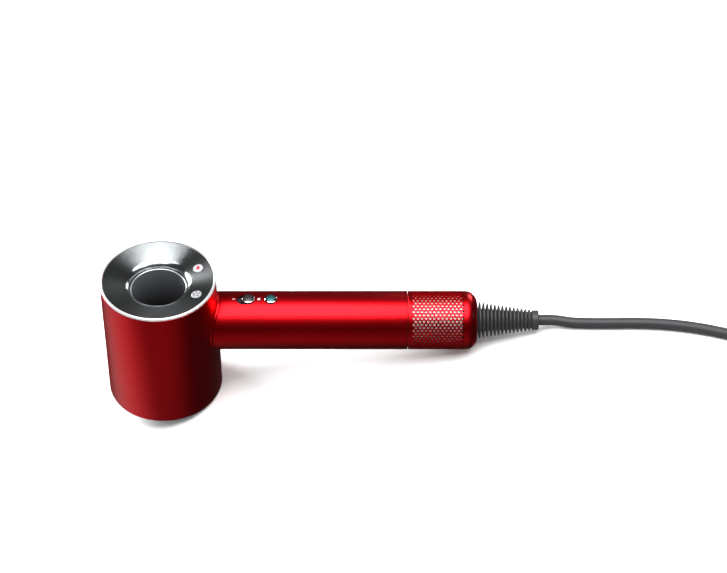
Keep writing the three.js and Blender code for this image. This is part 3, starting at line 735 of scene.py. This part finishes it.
# ---- The filter cage ----
ROWS = 56
STEPS = 2 * ROWS  # round the cage: one at each row's edge and one at its middle
HOLES = 13
HOLE_PITCH = 2.72
HOLE_RADIUS = 0.95
HOLE_SIDES = 12
FIRST_CELL = 167.7
LAST_CELL = FIRST_CELL + HOLES * HOLE_PITCH
CAGE_RADIUS = GRIP_RADIUS - 0.02
CAGE_WALL = 1
SHOULDER = 8  # the radius of the cage's rounded end
SHOULDER_ANGLES = (0, 6, 12, 18, 24, 29, 34, 57, 62, 68, 74, 80)
SLOTS_FROM = 34  # the shoulder's band from this angle to the next one is slotted


def on_cage(x, step, radius=CAGE_RADIUS):
    """A point of the cage, in metres, by its place along it and its step round it."""
    turn = pi * step / ROWS
    return (x * MM, radius * cos(turn) * MM, radius * sin(turn) * MM)


def pierced_rows(shape, corner):
    """Rows of round holes, each in a cell of its own. Alternate rows are set half a cell along."""
    quarter = HOLE_PITCH / 4
    for row in range(ROWS):
        low, middle, high = 2 * row, 2 * row + 1, 2 * row + 2
        odd = row % 2
        start = FIRST_CELL + odd * HOLE_PITCH / 2
        for cell in range(HOLES - odd):
            x = start + (cell + 0.5) * HOLE_PITCH
            edge = [corner(x + 2 * quarter, middle)]
            edge += [corner(x + i * quarter, high) for i in (2, 1, 0, -1, -2)]
            edge += [corner(x - 2 * quarter, middle)]
            edge += [corner(x + i * quarter, low) for i in (-2, -1, 0, 1, 2)]
            rim = []
            for i in range(HOLE_SIDES):
                turn = 2 * pi * i / HOLE_SIDES
                step = middle + HOLE_RADIUS * sin(turn) / CAGE_RADIUS * ROWS / pi
                rim.append(shape.verts.new(on_cage(x + HOLE_RADIUS * cos(turn), step)))
            for i in range(HOLE_SIDES):
                after = (i + 1) % HOLE_SIDES
                shape.faces.new((edge[i], edge[after], rim[after], rim[i]))
        if odd:  # half a cell is left at each end, and stays plain
            for x, way in ((FIRST_CELL, 1), (LAST_CELL, -1)):
                along = [x + way * i * quarter for i in range(3)]
                for side in (low, high):
                    loop = [corner(a, side) for a in along] + [corner(along[2], middle), corner(x, middle)]
                    shape.faces.new(loop)


def cage_ends(shape, corner):
    """A plain band against the grip, and at the other end a round shoulder with a ring of slots."""
    def ring(radius, x):
        return [shape.verts.new(on_cage(x, step, radius)) for step in range(STEPS)]

    bands = [ring(CAGE_RADIUS - 0.2, CAGE_START), ring(CAGE_RADIUS, CAGE_START + 0.2)]
    bands.append([corner(FIRST_CELL, step) for step in range(STEPS)])
    closing = [[corner(LAST_CELL, step) for step in range(STEPS)]]
    shoulder_start = CAGE_END - SHOULDER * sin(radians(SHOULDER_ANGLES[-1]))
    for angle in map(radians, SHOULDER_ANGLES):
        radius = CAGE_RADIUS - SHOULDER + SHOULDER * cos(angle)
        closing.append(ring(radius, shoulder_start + SHOULDER * sin(angle)))
    slotted = closing[1 + SHOULDER_ANGLES.index(SLOTS_FROM)]
    for rings in (bands, closing):
        for a, b in zip(rings, rings[1:]):
            for j in range(STEPS):
                k = (j + 1) % STEPS
                if a is not slotted or j % 2 == 0:
                    shape.faces.new((a[j], a[k], b[k], b[j]))


def filter_cage():
    """A tube with rows of fine holes and a round slotted end."""
    shape = bmesh.new()
    points = {}

    def corner(x, step):
        """The point at a corner of a cell, made the first time that it's asked for."""
        key = (round(x, 3), round(step % STEPS, 4))
        if key not in points:
            points[key] = shape.verts.new(on_cage(x, step))
        return points[key]

    pierced_rows(shape, corner)
    cage_ends(shape, corner)
    piece = made_from(shape, bpy.data.meshes.new("filter_cage_fine"))
    wall = piece.modifiers.new("wall", "SOLIDIFY")
    wall.thickness, wall.offset, wall.use_even_offset = CAGE_WALL * MM, -1, True
    settle(piece)
    piece.data.set_sharp_from_angle(angle=radians(EDGE_ANGLE))
    return piece


def filter_screen():
    """A thin tube of gauze, just inside the cage."""
    inner, outer = screen_high.y - 0.3, screen_high.y + 0.3
    low, high = screen_low.x, screen_high.x
    return turned("filter_screen_fine", [(inner, low), (outer, low), (outer, high), (inner, high)], sides=128)


def strain_relief():
    """A base in the cage's end, fourteen ribs that taper, and a collar round the cord."""
    start, first, pitch, ribs = relief_low.x, CAGE_END + 0.9, 2.55, 14

    def core(x):
        return 7.6 - (x - first) / (RELIEF_END - first) * 2.6

    outline = [(0.02, start), (RELIEF_RADIUS - 0.6, start), (RELIEF_RADIUS, first - 0.9),
               (RELIEF_RADIUS - 0.25, first - 0.6)]
    for i in range(ribs):
        x, radius = first + i * pitch, RELIEF_RADIUS - 0.2 - i * 0.38
        outline += [(core(x), x), (radius - 0.2, x + 0.68), (radius, x + 0.85), (radius, x + 1.45),
                    (radius - 0.2, x + 1.6), (core(x) + 0.1, x + 2.2)]
    x = first + ribs * pitch
    outline += [(core(x), x), (6.4, x + 0.4), (6.6, x + 0.6), (6.6, RELIEF_END - 0.6),
                *arc(6.0, RELIEF_END - 0.6, 0.6, 0, 80, 5), (0.02, RELIEF_END)]
    return turned("strain_relief_fine", outline, closed=False, sides=96)


# ---- The plug ----
PIN_SPACING = 19


def plug_body():
    """A rubber moulding that widens from a round neck to a squarish grip."""
    rings, sides = [], 96
    stations = [(0, 4.4, 4.4, 2), (0.5, 5.4, 5.4, 2), (2, 6.0, 6.0, 2), (14, 7.2, 6.6, 2),
                (20, 10.6, 7.0, 2.4), (25, 15.4, 7.2, 3), (31, 18.2, 7.4, 3.6), (36, 18.35, 7.4, 4),
                (40.4, 18.3, 7.4, 4), (41.5, 17.9, 7.0, 4), (PLUG_LENGTH, 17.0, 6.2, 4)]
    for x, wide, high, square in stations:
        ring = []
        for j in range(sides):
            a = 2 * pi * j / sides
            c, s = cos(a), sin(a)
            ring.append((x, wide * math.copysign(abs(c) ** (2 / square), c),
                         high * math.copysign(abs(s) ** (2 / square), s)))
        rings.append(ring)
    body = loft("plug_body_fine", rings, smooth=50)
    return finished(body, RUBBER, "dryer_body", ["plug_body"], PLUG)


def plug_pin(number, side):
    """A round pin with a rounded tip, its foot inside the plug."""
    outline = [(0.02, 37), (2.4, 37), (2.4, 58), *arc(1.4, 60, 1, 0, 80, 6), (0.02, 61)]
    pin = turned(f"plug_pin_{number}_fine", outline, closed=False, sides=48)
    matrix = PLUG @ shift(0, side * PIN_SPACING / 2, 0) @ ALONG_GRIP
    return finished(pin, metal("pin_brass", (0.8, 0.66, 0.4), 0.25), "dryer_body",
                    [f"plug_pin_{number}"], matrix)


# ---- Making everything ----
camera()
cord = mains_cord()
tie = coil_tie()
plug = [plug_body(), plug_pin(1, -1), plug_pin(2, 1)]

BODY = "dryer_body"
finished(head_shell(), RED, BODY, ["head_shell"])
finished(rear_bezel(), RIM, BODY, ["rear_bezel"])
finished(rear_dish(), NICKEL, BODY, ["rear_dish"], own_axes=True)
finished(throat_lip(), RIM, BODY)
finished(bore_liner(), bore_with_painted_shade(), BODY, ["bore_liner"], own_axes=True)
IRON = metal("iron_grey", (0.12, 0.125, 0.14), 0.35)
finished(front_ring(), IRON, BODY, ["front_ring"])
control_button("heat_button", 1)
control_button("speed_button", -1)
finished(grip_shell(), RED, BODY, ["grip_shell"])
smoked = jewelled("smoked_chrome", (0.5, 0.45, 0.46), 0.26)
teal = jewelled("teal_chrome", (0.12, 0.5, 0.55), 0.34)
domed_cap("power_slider", POWER_STATION, 16.8, KNOB_TOP, 1.1, smoked)
domed_cap("cool_shot_button", COOL_STATION, 17.7, cool_high.z, 1.3, teal)
finished(filter_cage(), RED, "filter_cage", ["filter_cage"])
finished(filter_screen(), GAUZE, BODY, ["filter_screen"], DRYER @ ALONG_GRIP, True)
finished(strain_relief(), RUBBER, BODY, ["strain_relief"], DRYER @ ALONG_GRIP)

# Printed marks: a bar and a ring beside the slider, a fan on one button and a flame on the other.
on_grip("mark_on", [(-0.9, -0.22), (0.9, -0.22), (0.9, 0.22), (-0.9, 0.22)], POWER_STATION - 9.9)
on_grip("mark_off", arc(0, 0, 0.95, 0, 350, 32) + arc(0, 0, 0.6, 350, 0, 32), POWER_STATION + 7)
BLADES = 5
for i in range(BLADES):
    on_button(f"fan_blade_{i + 1}", fan_blade(i * 360 / BLADES), DARK_INK, "speed_button", -1)
on_button("heat_flame", flame(), RED_INK, "heat_button", 1)

# ---- The CAD nodes that stay ----
KEPT = {
    plastic("deep_black", (0.012, 0.012, 0.014), 0.45): [
        "outlet_nozzle", "air_duct", "switch_bezel", "cool_shot_switch", "heat_switch", "speed_switch",
        "impeller", "filter_core", "cord_clamp", "capacitor"],
    GREY: ["ion_module", "motor_housing"],
    metal("steel", (0.55, 0.56, 0.57), 0.3): [
        "thermal_cutout", "head_screw_1", "head_screw_2", "head_screw_3", "slide_switch", "stator_core",
        "bearing_head_end", "bearing_filter_end", "rotor_shaft", "clamp_screw_1", "clamp_screw_2"],
    metal("magnet", (0.05, 0.05, 0.055), 0.4): ["magnet_ring", "rotor_magnet"],
    metal("cast_grey", (0.14, 0.145, 0.16), 0.4): ["bearing_bridge", "diffuser"],
    metal("heater_alloy", (0.4, 0.38, 0.36), 0.35, (8, 1, 1)): ["heater_coil_front", "heater_coil_rear"],
    mica(): ["heater_frame"],
    circuit_board(): ["control_board", "switch_board", "motor_board"],
    RUBBER: ["motor_mount_head_end", "motor_mount_filter_end"],
    winding(): [
        "stator_coil_1", "stator_coil_2", "stator_coil_3", "stator_coil_4", "live_wire", "neutral_wire"],
}
for material, nodes in KEPT.items():
    for node in nodes:
        frame["nodes"][node].material_slots[0].material = material


# ---- The studio ----
def light(name, place, aim, power, size):
    """A soft panel, with its place, aim and size in metres in the dryer's own frame."""
    data = bpy.data.lights.new(name, "AREA")
    data.shape, data.energy = "RECTANGLE", power
    data.size, data.size_y = size
    lamp = bpy.data.objects.new(name, data)
    lamp.location = DRYER @ Vector(place)
    look = (DRYER @ Vector(aim)) - lamp.location
    lamp.rotation_euler = look.to_track_quat("-Z", "Y").to_euler()
    bpy.context.scene.collection.objects.link(lamp)


light("overhead", (0.17, -0.12, 0.95), aim=(0.17, -0.12, 0), power=19.5, size=(0.87, 1.1))
light("left", (-0.75, 0.5, 0.3), aim=(0, 0, 0), power=18, size=(0.5, 0.5))
light("right", (0.62, 0.8, 0.22), aim=(0, 0, 0), power=1.5, size=(0.3, 0.3))


def floor():
    """A wide pale floor under the object, left out of reflections."""
    half, level = 6000, -0.02
    corners = [(s * half, t * half, level) for s, t in ((-1, -1), (1, -1), (1, 1), (-1, 1))]
    sheet = solid("floor", corners, [(0, 1, 2, 3)])
    finish = Finish("paper", (0.92, 0.92, 0.92), 0.9)
    finish.vary_color(finish.noise(3.0), 0.985)
    sheet.data.materials.append(finish.material)
    sheet.visible_glossy = False


def surroundings():
    """Pale and even for the camera and for plain light. In reflections dark, with a glow low on the
    left and a fainter one low in front."""
    world = bpy.data.worlds.new("studio")
    world.use_nodes = True
    nodes, links = world.node_tree.nodes, world.node_tree.links
    background = nodes["Background"]
    background.inputs["Color"].default_value = (1, 1, 1, 1)
    in_front, on_the_left = ((-0.1, -0.8, -0.6), 0.2), ((-0.86, -0.1, -0.5), 0.7)
    glows = nodes.new("ShaderNodeMath")  # a Math node adds, unless it's told otherwise
    for i, (way, brightness) in enumerate((in_front, on_the_left)):
        towards = nodes.new("ShaderNodeVectorMath")
        towards.operation = "DOT_PRODUCT"
        links.new(nodes.new("ShaderNodeTexCoord").outputs["Generated"], towards.inputs[0])
        towards.inputs[1].default_value = way
        glow = nodes.new("ShaderNodeMapRange")
        links.new(towards.outputs["Value"], glow.inputs["Value"])
        edge = 0.75  # the cosine of the angle from the glow's middle to where it ends
        glow.inputs["From Min"].default_value, glow.inputs["To Max"].default_value = edge, brightness
        links.new(glow.outputs["Result"], glows.inputs[i])
    level = nodes.new("ShaderNodeMath")
    level.inputs[1].default_value = 0.03  # what is left away from the glows
    links.new(glows.outputs[0], level.inputs[0])
    choice = nodes.new("ShaderNodeMapRange")
    links.new(nodes.new("ShaderNodeLightPath").outputs["Is Glossy Ray"], choice.inputs["Value"])
    choice.inputs["To Min"].default_value = 0.75  # for the camera and plain light
    links.new(level.outputs[0], choice.inputs["To Max"])
    links.new(choice.outputs["Result"], background.inputs["Strength"])
    bpy.context.scene.world = world


floor()
surroundings()
bpy.context.scene.view_settings.view_transform = "Standard"
